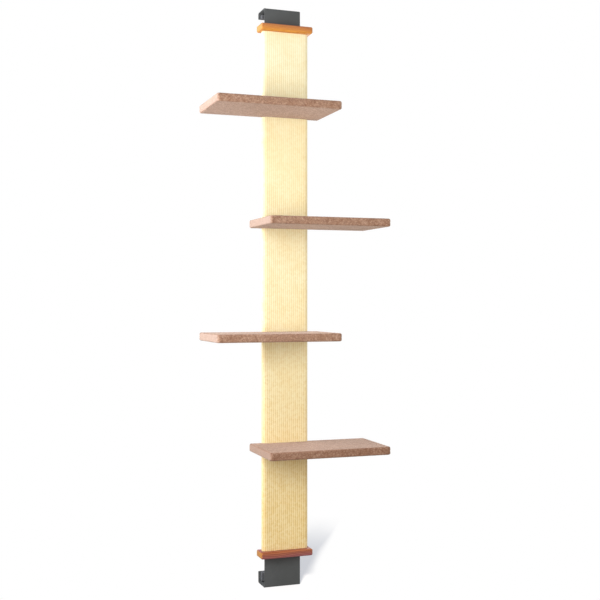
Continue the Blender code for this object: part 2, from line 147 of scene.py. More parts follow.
def new_material(name, **inputs):
    """A Principled material with these inputs of its shader set, by name with _ for a space. It comes with
    a function that adds a node to it, its shader, and the output that places a point on the object."""
    material = bpy.data.materials.new(name)
    material.use_nodes = True
    add = partial(add_node, material.node_tree)
    shader = material.node_tree.nodes["Principled BSDF"]
    feed(shader, {key.replace("_", " "): value for key, value in inputs.items()})
    print("material:", name)
    return material, add, shader, add("TexCoord").outputs["Object"]

# %% [markdown]
# ## Woven sisal
#
# Sisal is the stiff pale fibre of an agave leaf. It is spun into hard cords and woven into a mat whose
# cords stand side by side as ribs. The ribs are real relief in the mesh below, and the material adds what
# is finer: single fibres along the cord, a straw colour that shifts a little from stitch to stitch, and a
# dry, matt surface. The grooves between the cords and the pinches of the cross threads are also painted
# darker, which is painted shade. From the bottom of the panel to the top the colour is painted paler, from
# straw to ivory, and the stitches are painted more alike up there, which is painted light. The mesh carries
# its own flat coordinates in metres: U across the ribs and V along them.

# %% Sisal material
FIBRE_WIDTH = 0.5 * MM
FIBRE_SLIMNESS = 0.12
CLOUDS_PER_METRE = 14.0
# Painted light: between these heights the sisal is painted paler towards the top, and its stitches more
# alike.
PAINTED_LIGHT_ENDS = (-1.80, -0.15)
PAINTED_LIGHT_EVENNESS = 0.6

sisal, add, shader, place = new_material("woven_sisal", Roughness=0.9, Specular_IOR_Level=0.2)
flat = add("UVMap", uv_map="flat")
stitch_tone_and_shade = add("Attribute", attribute_name="stitch_tone_and_shade").outputs["Fac"]
fibre_space = add("Mapping", {"Vector": flat, "Scale": (1 / FIBRE_WIDTH, FIBRE_SLIMNESS / FIBRE_WIDTH, 1)})
fibres = add("TexNoise", {"Vector": fibre_space, "Scale": 1.0, "Detail": 3.0, "Roughness": 0.6},
             noise_dimensions="2D")
clouds = add("TexNoise", {"Vector": flat, "Scale": CLOUDS_PER_METRE, "Detail": 4.0, "Roughness": 0.6},
             noise_dimensions="2D")
# The stitch tone carries painted shade in the grooves and at the pinches, as well as a random tone per
# stitch.
straw_and_groove_shade = add("ValToRGB", {"Fac": stitch_tone_and_shade},
            [(0.0, "#bd9656"), (0.3, "#e3cc92"), (0.6, "#faf1c6"), (1.0, "#fffce6")])
fibre_tone = add("ValToRGB", {"Fac": fibres}, [(0.3, "#d8c8a4"), (0.55, "#ffffff")])
streaked = add("Mix", {"Factor": 0.4, 6: straw_and_groove_shade, 7: fibre_tone}, **TINT)
# Painted light: from here on the colour is painted paler and flatter towards the top of the panel.
height = add("SeparateXYZ", {"Vector": place}).outputs["Z"]
painted_light_height = add("MapRange", {"Value": height, "From Min": PAINTED_LIGHT_ENDS[0], "From Max": PAINTED_LIGHT_ENDS[1]})
painted_light_evenness = add("Math", {0: painted_light_height, 1: PAINTED_LIGHT_EVENNESS}, operation="MULTIPLY")
painted_light_evened = add("Mix", {"Factor": painted_light_evenness, 6: streaked, 7: linear("#fdf5cc")}, **BLEND)
cloud_tone = add("ValToRGB", {"Fac": clouds}, [(0.32, "#faf0dc"), (0.6, "#ffffff")])
clouded = add("Mix", {"Factor": 0.35, 6: painted_light_evened, 7: cloud_tone}, **TINT)
painted_light_tone = add("ValToRGB", {"Fac": painted_light_height},
                [(0.05, "#fbebce"), (0.28, "#fff7e8"), (0.52, "#fffbf3"), (0.8, "#fffaef"), (1.0, "#ffffff")])
sisal_colour = add("Mix", {"Factor": 1.0, 6: clouded, 7: painted_light_tone}, **TINT)
fuzz = add("Bump", {"Height": fibres, "Strength": 0.6, "Distance": 0.25 * MM})
feed(shader, {"Base Color": sisal_colour, "Normal": fuzz})

# %% [markdown]
# ## Carpet
#
# The shelves wear a short, dense pile of fawn yarn, heat-set and cut. Up close it is a field of tufts in
# several browns, whose yarns lean over each other, and from a step away it reads as a soft mottled surface.
# Pile catches light at its tips where it is seen edge on, which is what sheen stands for in the shader. The
# shelves' ends are painted paler than the rest, which is painted light, and the lowest shelf is painted a
# shade darker, which is painted shade.

# %% Carpet material
TUFT = 3.6 * MM
YARN = 1.2 * MM
PATCHES_PER_METRE = 60.0
# Painted shade: below these heights the carpet is painted darker.
PAINTED_SHADE_HEIGHTS = (-1.40, -1.30)


def looks_along(add, axis, kind="Normal"):
    """How squarely a face looks along this axis, from 0 to 1."""
    facing = add("SeparateXYZ", {"Vector": add("NewGeometry").outputs[kind]}).outputs[axis]
    return add("Math", {0: facing}, operation="ABSOLUTE")


carpet, add, shader, place = new_material(
    "cut_pile_carpet", Roughness=1.0, Specular_IOR_Level=0.05, Sheen_Weight=0.34, Sheen_Roughness=0.45,
    Sheen_Tint=linear("#ffebda"))
yarn = add("TexNoise", {"Vector": place, "Scale": 1 / YARN, "Detail": 3.0})
leaning = add("VectorMath", {0: yarn.outputs["Color"], 1: (TUFT, TUFT, TUFT), 2: place},
              operation="MULTIPLY_ADD")
tufts = add("TexVoronoi", {"Vector": leaning, "Scale": 1 / TUFT})
tuft_pick = add("SeparateColor", {"Color": tufts.outputs["Color"]}).outputs["Red"]
tuft_colour = add("ValToRGB", {"Fac": tuft_pick},
                  [(0.0, "#9d7a66"), (0.35, "#ae8b73"), (0.7, "#ba967e"), (1.0, "#ccac95")])
patches = add("TexNoise", {"Vector": place, "Scale": PATCHES_PER_METRE, "Detail": 3.0, "Roughness": 0.6})
patch_tone = add("ValToRGB", {"Fac": patches}, [(0.35, "#e4d8cf"), (0.65, "#ffffff")])
patched = add("Mix", {"Factor": 0.8, 6: tuft_colour, 7: patch_tone}, **TINT)
yarn_tone = add("ValToRGB", {"Fac": yarn}, [(0.36, "#b9aca3"), (0.58, "#ffffff")])
yarned = add("Mix", {"Factor": 0.55, 6: patched, 7: yarn_tone}, **TINT)
# Painted light: the shelves' ends, the faces that look along X, are painted paler.
painted_end_light = add("MapRange", {"Value": looks_along(add, "X"), "From Min": 0.5, "From Max": 0.95, "To Max": 0.55})
end_lit = add("Mix", {"Factor": painted_end_light, 6: yarned, 7: linear("#bfaa99")}, **BLEND)
# Painted shade: the lowest shelf's carpet is painted a shade darker.
height = add("SeparateXYZ", {"Vector": place}).outputs["Z"]
low_shade = add("MapRange", {"Value": height, "From Min": PAINTED_SHADE_HEIGHTS[0], "From Max": PAINTED_SHADE_HEIGHTS[1]})
low_shade_tone = add("ValToRGB", {"Fac": low_shade}, [(0.0, "#eae3df"), (1.0, "#ffffff")])
low_shaded = add("Mix", {"Factor": 1.0, 6: end_lit, 7: low_shade_tone}, **TINT)
pile = add("Bump", {"Height": yarn, "Strength": 0.8, "Distance": 0.5 * MM})
feed(shader, {"Base Color": low_shaded, "Normal": pile})

# %% [markdown]
# ## Pine
#
# A plank is cut out of a trunk, so its grain is a set of nested tubes, the growth rings, met at a slant.
# One function draws them as a solid texture: the distance from a centre line, the pith, is cut into rings
# that are pale where the tree grew in spring and dark where it slowed down. Long faces then show stripes
# and the sawn ends show arcs, and both meet at the edges. A tint from the pith outwards paints bands across
# each bar: a blue-purple band is a painted reflection and a yellow band a painted highlight, while on the
# bare cleats it is a faint heartwood tint. The sawn ends are sanded back, which leaves them yellower. The
# bars are stained honey brown and varnished, so they have a thin clear coat. Each is a plank of its own,
# and the lower one has a darker, redder copy of the stain, which is painted shade. The cleats are left bare.

# %% Growth rings
RING_WIDTH = 3.4 * MM
GRAIN_SLANT = (0, 0.035, -0.05)
SWAY_SCALE = (5.0, 30.0, 30.0)
SWAY = (0, 14 * MM, 14 * MM)
FIBRE_SCALE = (30.0, 1400.0, 1400.0)


def growth_rings(name, pith, stops, heart_and_bands, end_grain, **finish):
    """Sawn softwood with its grain along X. pith is a point of the centre line, stops colour one ring, and
    the tints after them, near the pith and far from it, give bare pine a faint heartwood tint and paint bands
    of reflection and highlight on the stained bars."""
    material, add, shader, place = new_material(name, **finish)
    from_pith = add("Mapping", {"Vector": place, "Location": pith, "Rotation": GRAIN_SLANT},
                    vector_type="TEXTURE")
    stretched = add("VectorMath", {0: from_pith, 1: SWAY_SCALE}, operation="MULTIPLY")
    sway = add("TexNoise", {"Vector": stretched, "Scale": 1.0, "Detail": 2.0})
    swayed = add("VectorMath", {0: sway.outputs["Color"], 1: SWAY, 2: from_pith}, operation="MULTIPLY_ADD")
    flattened = add("VectorMath", {0: swayed, 1: (0, 1, 1)}, operation="MULTIPLY")
    distance = add("VectorMath", {0: flattened}, operation="LENGTH")
    years = add("Math", {0: distance, 1: RING_WIDTH}, operation="DIVIDE")
    season = add("Math", {0: years}, operation="FRACT")
    ring = add("ValToRGB", {"Fac": season}, stops)
    along = add("Mapping", {"Vector": place, "Scale": FIBRE_SCALE})
    fibres = add("TexNoise", {"Vector": along, "Scale": 1.0, "Detail": 3.0, "Roughness": 0.65})
    fibre_tone = add("ValToRGB", {"Fac": fibres}, [(0.3, "#c9b8a8"), (0.6, "#ffffff")])
    fibrous = add("Mix", {"Factor": 0.5, 6: ring, 7: fibre_tone}, **TINT)
    # On the stained bars this tint paints bands across the face: a blue-purple painted reflection and a
    # yellow painted highlight.
    near, near_tint, far, far_tint = heart_and_bands
    outwards = add("MapRange", {"Value": distance, "From Min": near, "From Max": far})
    heart_and_band_tone = add("ValToRGB", {"Fac": outwards}, [(0.0, near_tint), (1.0, far_tint)])
    tinted = add("Mix", {"Factor": 1.0, 6: fibrous, 7: heart_and_band_tone}, **TINT)
    endways = looks_along(add, "X")
    sawn = add("MapRange", {"Value": endways, "From Min": 0.4, "From Max": 0.95, "To Max": 0.75})
    ended = add("Mix", {"Factor": sawn, 6: tinted, 7: linear(end_grain)}, **BLEND)
    relief = add("Bump", {"Height": fibres, "Strength": 0.2, "Distance": 0.1 * MM})
    feed(shader, {"Base Color": ended, "Normal": relief})
    return material

# %% Three kinds of plank
STAIN_FINISH = {"Roughness": 0.55, "Specular_IOR_Level": 0.12, "Coat_Weight": 0.03, "Coat_Roughness": 0.35}

# The tints after the ring colours paint the bar's bands of reflection and highlight.
stained_pine = growth_rings(
    "stained_pine", (0.0, -0.098, -0.030),
    [(0.0, "#f0b25c"), (0.5, "#e6a350"), (0.82, "#ca803c"), (0.95, "#bc6f32")],
    (0.036, "#dfd0ff", 0.054, "#fff8e0"), "#b49758", **STAIN_FINISH)
# Painted shade: the lower bar gets a darker, redder copy of the stain, with its own painted bands.
shaded_stained_pine = growth_rings(
    "shaded_stained_pine", (0.0, -0.030, -1.962),
    [(0.0, "#c87a6d"), (0.5, "#ba6d64"), (0.82, "#95504c"), (0.95, "#884644")],
    (0.074, "#dce8ff", 0.089, "#f2f6a4"), "#c2872c", **STAIN_FINISH)
bare_pine = growth_rings(
    "bare_pine", (0.0, -0.120, -1.020),
    [(0.0, "#e3c08c"), (0.55, "#dcb57e"), (0.85, "#c79a60"), (0.96, "#bd8d54")],
    (0.02, "#fff2e6", 0.10, "#ffffff"), "#c9a26c", Roughness=0.62, Specular_IOR_Level=0.35)

# %% [markdown]
# ## Plywood
#
# The boards of the panel and the shelves' cores are plywood. Its faces are a veneer peeled off a turning
# log, so the grain wanders in long soft streaks, and its edges show the stripes of its layers, in turn
# along and across the sheet.

# %% Plywood
def peeled_plywood(name, grain_scale, ply_axis, plies):
    """Plywood whose face grain runs where grain_scale is small, with its layers stacked along ply_axis."""
    material, add, shader, place = new_material(name, Roughness=0.68, Specular_IOR_Level=0.3)
    along = add("Mapping", {"Vector": place, "Scale": grain_scale})
    veneer = add("TexNoise", {"Vector": along, "Scale": 1.0, "Detail": 6.0, "Roughness": 0.6})
    face = add("ValToRGB", {"Fac": veneer}, [(0.3, "#b88d5e"), (0.5, "#cfa777"), (0.7, "#ddbb8d")])
    part = add("SeparateXYZ", {"Vector": place.node.outputs["Generated"]}).outputs[ply_axis]
    layers = add("Math", {0: part, 1: plies / 2}, operation="MULTIPLY")
    turn = add("Math", {0: layers}, operation="FRACT")
    dark = add("Math", {0: turn, 1: 0.5}, operation="GREATER_THAN")
    edge = add("Math", {0: looks_along(add, ply_axis, "True Normal"), 1: 0.5}, operation="LESS_THAN")
    striped = add("Math", {0: edge, 1: dark}, operation="MULTIPLY")
    layered = add("Mix", {"Factor": striped, 6: face, 7: linear("#9c7145")}, **BLEND)
    relief = add("Bump", {"Height": veneer, "Strength": 0.3, "Distance": 0.15 * MM})
    feed(shader, {"Base Color": layered, "Normal": relief})
    return material


panel_plywood = peeled_plywood("panel_plywood", (160.0, 160.0, 8.0), "Y", 7)
shelf_plywood = peeled_plywood("shelf_plywood", (8.0, 160.0, 160.0), "Z", 9)

# %% [markdown]
# ## Steel and foam
#
# The hooks are folded from 2.5 mm sheet and powder coated: a dark grey plastic skin, baked on, with a faint
# orange-peel texture. The fasteners are zinc plated, which leaves a bright, slightly blue metal with spots
# of bloom that are duller. The pads that keep steel off the paint are closed-cell foam, a matt grey rubber
# full of tiny cut bubbles.

# %% Powder coat, zinc and foam
PEEL = 1.4 * MM
COAT_CLOUDS_PER_METRE = 14.0
BLOOM_PER_METRE = 420.0
BUBBLE = 1.1 * MM

powder_coat, add, shader, place = new_material("powder_coated_steel", Roughness=0.55, Specular_IOR_Level=0.3)
peel = add("TexNoise", {"Vector": place, "Scale": 1 / PEEL, "Detail": 2.0})
tone = add("TexNoise", {"Vector": place, "Scale": COAT_CLOUDS_PER_METRE, "Detail": 3.0})
coat_colour = add("ValToRGB", {"Fac": tone}, [(0.3, "#4a4c4b"), (0.7, "#515352")])
peel_bump = add("Bump", {"Height": peel, "Strength": 0.35, "Distance": 0.1 * MM})
feed(shader, {"Base Color": coat_colour, "Normal": peel_bump})

zinc, add, shader, place = new_material("zinc_plated_steel", Metallic=1.0)
bloom = add("TexNoise", {"Vector": place, "Scale": BLOOM_PER_METRE, "Detail": 3.0})
zinc_colour = add("ValToRGB", {"Fac": bloom}, [(0.3, "#aeb2b6"), (0.7, "#c9ccce")])
zinc_rough = add("MapRange", {"Value": bloom, "To Min": 0.24, "To Max": 0.42})
feed(shader, {"Base Color": zinc_colour, "Roughness": zinc_rough})

foam, add, shader, place = new_material("closed_cell_foam", Roughness=0.92, Specular_IOR_Level=0.2)
bubbles = add("TexVoronoi", {"Vector": place, "Scale": 1 / BUBBLE})
foam_colour = add("ValToRGB", {"Fac": bubbles}, [(0.0, "#505153"), (0.6, "#68696b")])
bubble_bump = add("Bump", {"Height": bubbles, "Strength": 0.6, "Distance": 0.2 * MM})
feed(shader, {"Base Color": foam_colour, "Normal": bubble_bump})

# %% [markdown]
# ## Making a piece
#
# Every piece made here goes through one function. It builds the object, gives it its material, lets it ride
# on the body that carries it, and hides the plain solids that it stands for.
# Arrays of points and faces are quickest to make with numpy, because the woven and tufted surfaces have
# many.

# %% Add a piece
CLIMBER = "climber"
LOWER_HOOK = "lower_hook"
SHELF_NUMBERS = range(1, 5)
SECTION_NUMBERS = range(1, 6)


def add_piece(name, shape, material, replaced=(), body=CLIMBER, smooth_angle=40.0):
    """Links a piece made of this mesh or bmesh, lets it ride on its body, and hides the solids it stands for.
    """
    data = shape
    if isinstance(shape, bmesh.types.BMesh):
        data = bpy.data.meshes.new("piece")
        shape.to_mesh(data)
        shape.free()
    data.name = name
    data.shade_smooth()
    data.set_sharp_from_angle(angle=math.radians(smooth_angle))
    data.materials.clear()
    data.materials.append(material)
    piece = add_object(name, data)
    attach(piece, body)
    if replaced:
        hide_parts(*replaced)
    print(name, "has", len(data.polygons), "faces")
    return piece


def mesh_from_arrays(points, quads):
    """A mesh from an (n, 3) array of points and an (m, 4) array of quads."""
    data = bpy.data.meshes.new("piece")
    data.vertices.add(len(points))
    data.vertices.foreach_set("co", np.asarray(points, np.float32).ravel())
    data.loops.add(quads.size)
    data.loops.foreach_set("vertex_index", quads.astype(np.int32).ravel())
    data.polygons.add(len(quads))
    data.polygons.foreach_set("loop_start", np.arange(0, quads.size, 4, dtype=np.int32))
    data.update(calc_edges=True)
    data.validate()
    return data

# %% [markdown]
# ## The sisal covers
#
# Each stretch of the panel is a board with a mat wrapped round it: across the front, round both edges and a
# little way in behind, where staples hold it. The mat is modelled as one grid that follows that path. Cords
# stand side by side, and each is pinched where a cross thread ties it down, half a stitch later on every
# other cord. The real cords are 5 to 6 mm apart, and they are drawn at 7.4 mm, the finest that a picture of
# this size shows.

# %% The path round a board
CORD_PITCH = 7.4 * MM
STITCH_LENGTH = 7.0 * MM
CORD_RELIEF = 1.2 * MM
CORD_STEPS = 6
STITCH_STEPS = 4
FRONT_BEND = (16.0 * MM, 11.0 * MM)
BACK_BEND = (3.3 * MM, 3.3 * MM)
RETURN_EDGE = 68.0 * MM
MAT_THICKNESS = 2.5 * MM


def wrapped_path(low, high, step):
    """Points, outward normals and lengths along the mat's outer face, from one return to the other."""
    middle = (low.x + high.x) / 2
    corners = [(low.x, high.y, BACK_BEND), (low.x, low.y, FRONT_BEND),
               (high.x, low.y, FRONT_BEND), (high.x, high.y, BACK_BEND)]
    start = Vector((middle - RETURN_EDGE, high.y))
    end = Vector((middle + RETURN_EDGE, high.y))
    stations = [start] + [Vector(c[:2]) for c in corners] + [end]
    points = []
    normals = []

    def run(a, b):
        along = (b - a).normalized()
        count = max(1, round((b - a).length / step))
        for k in range(count):
            points.append(a.lerp(b, k / count))
            normals.append(Vector((along.y, -along.x)))

    here = start
    for index, (_, _, bend) in enumerate(corners, 1):
        arrive = (stations[index] - stations[index - 1]).normalized()
        leave = (stations[index + 1] - stations[index]).normalized()
        before = abs(arrive.dot(bend))
        after = abs(leave.dot(bend))
        run(here, stations[index] - arrive * before)
        centre = stations[index] - arrive * before + leave * after
        count = max(2, round((before + after) * math.pi / 4 / step))
        for k in range(count):
            angle = math.pi / 2 * k / count
            points.append(centre - leave * after * math.cos(angle) + arrive * before * math.sin(angle))
            out = -leave * before * math.cos(angle) + arrive * after * math.sin(angle)
            normals.append(out.normalized())
        here = stations[index] + leave * after
    run(here, end)
    points.append(end)
    normals.append(normals[-1])
    points = np.array(points)
    normals = np.array(normals)
    lengths = np.concatenate([[0.0], np.cumsum(np.linalg.norm(np.diff(points, axis=0), axis=1))])
    return points, normals, lengths

# %% Weave the covers
KNOT_DEPTH = 0.38
UNEVENNESS = 0.14
FACE_LEVEL = 0.85
# Painted shade: the tone painted into the grooves, and below it how much darker the pinches are painted.
GROOVE_PAINTED_SHADE_TONE = 0.02
RIB_TONE = 0.82
KNOT_PAINTED_SHADE = 0.16
STRAW_TONE = 0.26
CUT_EDGE_TONE = 0.6


def weave_cover(number):
    """Weaves one section's mat, with its flat coordinates and a tone for each point: random from stitch to
    stitch, with painted shade in the grooves and at the pinches.
    """
    low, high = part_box(f"sisal_cover_{number}")
    points, normals, lengths = wrapped_path(low, high, CORD_PITCH / CORD_STEPS)
    rows = round((high.z - low.z) / (STITCH_LENGTH / STITCH_STEPS))
    heights = np.linspace(low.z, high.z, rows + 1)
    u, v = np.meshgrid(lengths, heights)

    cord = np.floor(u / CORD_PITCH).astype(int)
    across = u / CORD_PITCH - cord
    shifted = v / STITCH_LENGTH + 0.5 * (cord % 2)
    knot = np.floor(shifted).astype(int)
    rise = shifted - knot
    rib = np.sqrt(np.clip(1 - (2 * across - 1) ** 2, 0, 1))
    bulge = np.sqrt(np.clip(1 - (2 * rise - 1) ** 2, 0, 1))
    shuffle = np.random.default_rng(number).random((knot.max() - knot.min() + 1, cord.max() + 1))
    chance = shuffle[knot - knot.min(), cord]
    relief = rib * (1 - KNOT_DEPTH + KNOT_DEPTH * bulge) + UNEVENNESS * (chance - 0.5) * rib

    def surface(depth):
        x = points[:, 0] + normals[:, 0] * depth
        y = points[:, 1] + normals[:, 1] * depth
        return np.stack(np.broadcast_arrays(x, y, heights[:, None]), axis=-1)

    outer = surface(CORD_RELIEF * (relief - FACE_LEVEL))
    inner = surface(-MAT_THICKNESS)
    grid = np.concatenate([inner[:, :1], outer, inner[:, -1:]], axis=1)
    u = np.concatenate([u[:, :1] - MAT_THICKNESS, u, u[:, -1:] + MAT_THICKNESS], axis=1)
    v = np.concatenate([v[:, :1], v, v[:, -1:]], axis=1)
    # Painted shade: darkest in the grooves between cords and at the pinches; the last term is a random tone
    # per stitch.
    tone = GROOVE_PAINTED_SHADE_TONE + RIB_TONE * rib * (1 - KNOT_PAINTED_SHADE + KNOT_PAINTED_SHADE * bulge) + STRAW_TONE * (chance - 0.5)
    tone = np.clip(tone, 0, 1)
    tone = np.concatenate([tone[:, :1] * CUT_EDGE_TONE, tone, tone[:, -1:] * CUT_EDGE_TONE], axis=1)

    height, width = u.shape
    index = np.arange(height * width).reshape(height, width)
    quads = np.stack([index[:-1, :-1], index[:-1, 1:], index[1:, 1:], index[1:, :-1]], axis=-1).reshape(-1, 4)
    data = mesh_from_arrays(grid.reshape(-1, 3), quads)
    corners = np.empty(len(data.loops), np.int32)
    data.loops.foreach_get("vertex_index", corners)
    flat_map = data.uv_layers.new(name="flat")
    flat_map.data.foreach_set("uv", np.stack([u.ravel()[corners], v.ravel()[corners]], axis=-1).ravel())
    stitch_tones_and_shade = data.attributes.new("stitch_tone_and_shade", "FLOAT", "POINT")
    stitch_tones_and_shade.data.foreach_set("value", tone.ravel().astype(np.float32))
    cover = add_piece(f"woven_cover_{number}", data, sisal, [f"sisal_cover_{number}"], smooth_angle=180.0)


for number in SECTION_NUMBERS:
    weave_cover(number)

# %% [markdown]
# ## Soft blocks
#
# The carpeted shelves and the foam pads are boxes with rounded corners and rounded edges. Bevels would
# leave long thin faces that can't carry a pile, so the surface is made as a lattice of even cells, and each
# point near an edge slides onto its arc. A corner seen in plan is rounded first, then the edge between face
# and side.

# %% A lattice with round edges
def squared_to_round(a, b):
    """Slides points of a square, measured from its inner corner, onto quarter circles."""
    longest = np.maximum(a, b)
    length = np.hypot(a, b)
    scale = np.where(length > 0, longest / np.maximum(length, 1e-12), 1.0)
    return a * scale, b * scale


def soft_block(low, high, cell, corner, edge, thin="z", open_back=False):
    """A box of even cells, with round corners about its thin axis and round edges. Returns its points, its
    quads and which of the points lie at its back."""
    order = [0, 1, 2] if thin == "z" else [0, 2, 1]
    low, high = np.array([low, high])[:, order]
    cells = np.maximum(np.round((high - low) / cell).astype(int), 2)
    span = cells + 1

    def face(first, second, fixed, flip):
        a, b = np.meshgrid(np.arange(cells[first]), np.arange(cells[second]), indexing="ij")
        corners = []
        for da, db in ((0, 0), (1, 0), (1, 1), (0, 1)):
            place = [fixed, fixed, fixed]
            place[first] = a + da
            place[second] = b + db
            corners.append(np.ravel_multi_index(np.broadcast_arrays(*place), span, order="F").ravel())
        quads = np.stack(corners, axis=-1)
        return quads[:, ::-1] if flip else quads

    faces = [face(0, 1, cells[2], False), face(0, 1, 0, True), face(0, 2, 0, False),
             face(1, 2, 0, True), face(1, 2, cells[0], False)]
    if not open_back:
        faces.append(face(0, 2, cells[1], True))
    quads = np.concatenate(faces)
    used, quads = np.unique(quads, return_inverse=True)
    quads = quads.reshape(-1, 4)
    lattice = np.stack(np.unravel_index(used, span, order="F"), axis=-1)

    centre = (low + high) / 2
    half = (high - low) / 2
    p = (lattice / cells * 2 - 1) * half
    side = np.sign(p)
    reach_y = np.maximum(-p[:, 1], 0) if open_back else np.abs(p[:, 1])
    over_x = np.maximum(np.abs(p[:, 0]) - (half[0] - corner), 0)
    over_y = np.maximum(reach_y - (half[1] - corner), 0)
    outward = np.maximum(over_x, over_y)
    round_x, round_y = squared_to_round(over_x, over_y)
    length = np.maximum(np.hypot(over_x, over_y), 1e-12)
    away_x = over_x / length * side[:, 0]
    away_y = over_y / length * side[:, 1]
    p[:, 0] -= (over_x - round_x) * side[:, 0]
    p[:, 1] -= (over_y - round_y) * side[:, 1]

    near = np.maximum(outward - (corner - edge), 0)
    above = np.maximum(np.abs(p[:, 2]) - (half[2] - edge), 0)
    round_near, round_above = squared_to_round(near, above)
    p[:, 0] -= (near - round_near) * away_x
    p[:, 1] -= (near - round_near) * away_y
    p[:, 2] -= (above - round_above) * side[:, 2]
    p += centre
    if thin == "y":
        quads = quads[:, ::-1]
    return p[:, np.argsort(order)], quads, lattice[:, 1] == cells[1]

# %% [markdown]
# ## The carpeted shelves
#
# A shelf is a plywood board in a sock of carpet: one piece goes over the top, down the front and back along
# the underside, and its flaps meet in a seam along the middle of each end. The sock is open at the rear,
# where the board's edge shows between two cut edges of carpet. The pile is relief in the mesh, tuft by
# tuft, and the yarn's own fuzz is left to the material.

# %% Lay the carpets
CARPET_CELL = 1.9 * MM
SHELF_CORNER = 12.0 * MM
SHELF_EDGE = 6.0 * MM
CARPET_THICKNESS = 4.5 * MM
PILE_RELIEF = 0.8 * MM
PILE_LEVEL = 0.35
SEAM_WIDTH = 1.4 * MM
SEAM_DEPTH = 0.8 * MM


def turn_in(value, middle, half):
    """Moves a value from the carpet's outside to its inside: fully on a flat side, by its share in a bend."""
    reach = value - middle
    share = max(abs(reach) - (half - SHELF_EDGE), 0.0) / SHELF_EDGE
    return value - math.copysign(CARPET_THICKNESS * share, reach)


def lay_carpet(number):
    """Lays one shelf's carpet, with its tufts, its seams and the cut edge at its rear."""
    low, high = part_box(f"shelf_carpet_{number}")
    points, quads, back = soft_block(low, high, CARPET_CELL, SHELF_CORNER, SHELF_EDGE, open_back=True)
    data = mesh_from_arrays(points, quads)
    normals = np.empty(len(points) * 3, np.float32)
    data.vertex_normals.foreach_get("vector", normals)
    normals = normals.reshape(-1, 3)
    relief = np.array([noise.voronoi(Vector(p) / TUFT)[0][0] for p in points])
    inwards = PILE_RELIEF * (relief - PILE_LEVEL)
    middle = (low + high) / 2
    on_end = np.minimum(np.abs(points[:, 0] - low.x), np.abs(points[:, 0] - high.x)) < SHELF_EDGE
    seam = np.exp(-((points[:, 2] - middle.z) / SEAM_WIDTH) ** 2) * on_end
    inwards = inwards + SEAM_DEPTH * seam
    inwards[back] = 0
    data.vertices.foreach_set("co", (points - normals * inwards[:, None]).astype(np.float32).ravel())
    data.update()

    mesh = bmesh.new()
    mesh.from_mesh(data)
    made = bmesh.ops.extrude_edge_only(mesh, edges=[e for e in mesh.edges if e.is_boundary])["geom"]
    for vertex in (g for g in made if isinstance(g, bmesh.types.BMVert)):
        vertex.co.x = turn_in(vertex.co.x, middle.x, high.x - middle.x)
        vertex.co.z = turn_in(vertex.co.z, middle.z, high.z - middle.z)
    mesh.to_mesh(data)
    mesh.free()
    piece = add_piece(f"carpet_{number}", data, carpet, [f"shelf_carpet_{number}"], smooth_angle=80.0)


for number in SHELF_NUMBERS:
    lay_carpet(number)

# %% [markdown]
# ## Foam pads
#
# Strips of foam are stuck inside the hooks and behind the shelves' cleats. Die cutting leaves crisp
# outlines, and only the edges are eased by a millimetre where the knife drags the foam.

# %% Cut the pads
PAD_CELL = 1.6 * MM
PAD_CORNER = 4.0 * MM
PAD_EDGE = 1.2 * MM

hook_pads = [f"{end}_{place}_pad" for end in ("top", "bottom") for place in ("front", "rear")]
for name in hook_pads + [f"door_pad_{number}" for number in SHELF_NUMBERS]:
    low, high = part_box(name)
    points, quads, _ = soft_block(low, high, PAD_CELL, PAD_CORNER, PAD_EDGE, thin="y")
    body = LOWER_HOOK if name.startswith("bottom") else CLIMBER
    pad = add_piece(f"foam_{name}", mesh_from_arrays(points, quads), foam, [name], body, smooth_angle=60.0)

# %% [markdown]
# ## Machining
#
# The wooden and steel pieces are made as in a workshop: pull an outline into a solid, drill it, then break
# its edges. In Blender that is a prism, a Boolean for each set of holes and a Bevel limited to sharp edges.
# The modifiers are evaluated at once into a plain mesh, and the helpers are removed, so only the finished
# piece is left. The outlines and the drills are rings of points, skinned one after another.

# %% Outlines and solids from rings
TINY = 1e-6


def skin(mesh, rings, closed=False):
    """Skins rings of equally many points. Closed joins the last to the first, otherwise both get a cap."""
    rows = [[mesh.verts.new(point) for point in ring] for ring in rings]
    count = len(rows[0])
    faces = []
    for low, high in zip(rows, rows[1:] + rows[:1] if closed else rows[1:]):
        for k in range(count):
            after = (k + 1) % count
            faces.append(mesh.faces.new((low[k], low[after], high[after], high[k])))
    if not closed:
        faces.append(mesh.faces.new(rows[0][::-1]))
        faces.append(mesh.faces.new(rows[-1]))
    bmesh.ops.recalc_face_normals(mesh, faces=faces)


def rounded(corners, steps=8):
    """A closed outline from corners (a, b, radius), each turned into an arc of its radius."""
    outline = []
    for index, (a, b, radius) in enumerate(corners):
        here = Vector((a, b))
        before = (Vector(corners[index - 1][:2]) - here).normalized()
        after = (Vector(corners[(index + 1) % len(corners)][:2]) - here).normalized()
        if radius <= 0:
            outline.append(here)
            continue
        start = here + before * radius
        end = here + after * radius
        centre = start + end - here
        for k in range(steps + 1):
            angle = math.pi / 2 * k / steps
            point = centre + (start - centre) * math.cos(angle) + (end - centre) * math.sin(angle)
            if not outline or (point - outline[-1]).length > TINY:
                outline.append(point)
    if (outline[0] - outline[-1]).length < TINY:
        outline.pop()
    return outline


def rectangle(left, right, front, back, front_radius=0.0, back_radius=0.0, steps=8):
    """The outline of a rectangle with these radii at its two front and its two back corners."""
    return rounded([(left, front, front_radius), (right, front, front_radius),
                    (right, back, back_radius), (left, back, back_radius)], steps)


def pull(mesh, outline, axis, low, high):
    """Pulls an outline of (x, y) along Z, of (x, z) along Y, or of (y, z) along X."""
    place = {
        "x": lambda a, b, c: (c, a, b),
        "y": lambda a, b, c: (a, c, b),
        "z": lambda a, b, c: (a, b, c),
    }[axis]
    skin(mesh, [[place(p.x, p.y, height) for p in outline] for height in (low, high)])


